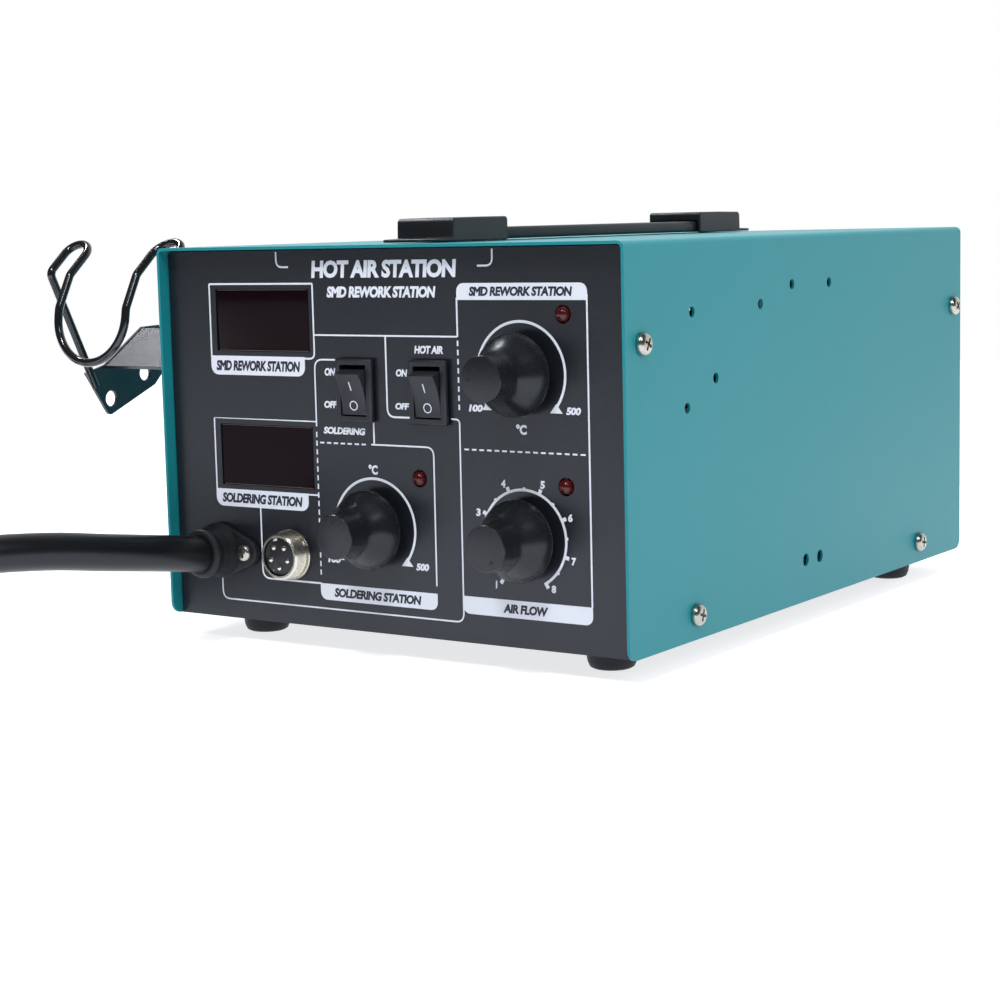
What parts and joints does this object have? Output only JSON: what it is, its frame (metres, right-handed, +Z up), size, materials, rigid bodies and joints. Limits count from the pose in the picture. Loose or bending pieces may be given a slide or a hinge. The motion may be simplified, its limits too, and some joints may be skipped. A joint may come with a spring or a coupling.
{
  "type": "hot air station",
  "caption": "Bench hot air station with a soldering channel: sheet case, panel with knobs, switches and displays, strap handle, wire holder, coiled air hose and handpiece.",
  "frame": {"origin": "middle of the outline on the table, measured without the hose", "axes": "+X to the right across the front panel, +Y from the panel to the rear, +Z up"},
  "size_m": [0.408, 0.45, 0.1436],
  "materials": {
    "teal_paint": "satin teal powder coat",
    "black_paint": "satin black paint",
    "black_sheet": "satin black sheet steel",
    "black_wire": "gloss black coating",
    "black_plastic": "satin black",
    "black_rubber": "soft black",
    "smoked_window": "clear gloss, dark smoked red",
    "red_lens": "clear gloss red",
    "nickel": "bright nickel plate",
    "steel": "bright steel",
    "board_green": "green solder resist",
    "ceramic": "off-white",
    "print_white": "matt pale print",
    "print_dark": "matt dark print"
  },
  "bodies": {
    "case": {"air_flow_potentiometer": "steel", "air_pump": "black_plastic", "air_tube": "ceramic", "chassis_tray": "black_paint", "control_board": "board_green", "cover_screw_left_front_lower": "nickel", "cover_screw_left_front_upper": "nickel", "cover_screw_left_rear_lower": "nickel", "cover_screw_left_rear_upper": "nickel", "cover_screw_right_front_lower": "nickel", "cover_screw_right_front_upper": "nickel", "cover_screw_right_rear_lower": "nickel", "cover_screw_right_rear_upper": "nickel", "foot_front_left": "black_rubber", "foot_front_right": "black_rubber", "foot_rear_left": "black_rubber", "foot_rear_right": "black_rubber", "fuse_holder": "black_plastic", "gland_screw_left": "nickel", "gland_screw_right": "nickel", "handle_clip_front": "black_plastic", "handle_clip_rear": "black_plastic", "handle_strap": "black_rubber", "handpiece_boot": "black_rubber", "handpiece_grip": "black_plastic", "heater_barrel": "steel", "heater_core": "ceramic", "holder_bracket": "black_sheet", "holder_screw_front": "nickel", "holder_screw_rear": "nickel", "holder_wire": "black_wire", "hose_coil": "black_rubber", "hose_gland": "black_rubber", "hose_lead": "black_rubber", "hose_tail": "black_rubber", "hot_air_digit_display": "black_plastic", "hot_air_display_window": "smoked_window", "hot_air_switch_housing": "black_plastic", "hot_air_temp_potentiometer": "steel", "lamp_air_flow": "red_lens", "lamp_hot_air": "red_lens", "lamp_soldering": "red_lens", "mains_inlet": "black_plastic", "socket_insert": "black_plastic", "socket_nut": "nickel", "socket_shell": "nickel", "soldering_digit_display": "black_plastic", "soldering_display_window": "smoked_window", "soldering_switch_housing": "black_plastic", "soldering_temp_potentiometer": "steel", "top_cover": "teal_paint", "transformer": "steel"},
    "hot_air_temp_dial": {"hot_air_temp_knob": "black_plastic", "hot_air_temp_shaft": "steel"},
    "air_flow_dial": {"air_flow_knob": "black_plastic", "air_flow_shaft": "steel"},
    "soldering_temp_dial": {"soldering_temp_knob": "black_plastic", "soldering_temp_shaft": "steel"},
    "hot_air_switch": {"hot_air_rocker": "black_plastic"},
    "soldering_switch": {"soldering_rocker": "black_plastic"}
  },
  "joints": [
    {"name": "hot_air_temp_turn", "type": "hinge", "parent": "case", "child": "hot_air_temp_dial", "pos_m": [0.1615, -0.074, 0.0946], "axis": [0, 1, 0], "range_deg": [-40, 220]},
    {"name": "air_flow_turn", "type": "hinge", "parent": "case", "child": "air_flow_dial", "pos_m": [0.1615, -0.074, 0.0428], "axis": [0, 1, 0], "range_deg": [-300, 0]},
    {"name": "soldering_temp_turn", "type": "hinge", "parent": "case", "child": "soldering_temp_dial", "pos_m": [0.1027, -0.074, 0.0428], "axis": [0, 1, 0], "range_deg": [-130, 130]},
    {"name": "hot_air_switch_rock", "type": "hinge", "parent": "case", "child": "hot_air_switch", "pos_m": [0.1264, -0.0696, 0.0881], "axis": [-1, 0, 0], "range_deg": [0, 34]},
    {"name": "soldering_switch_rock", "type": "hinge", "parent": "case", "child": "soldering_switch", "pos_m": [0.0966, -0.0696, 0.0881], "axis": [-1, 0, 0], "range_deg": [0, 34]}
  ]
}
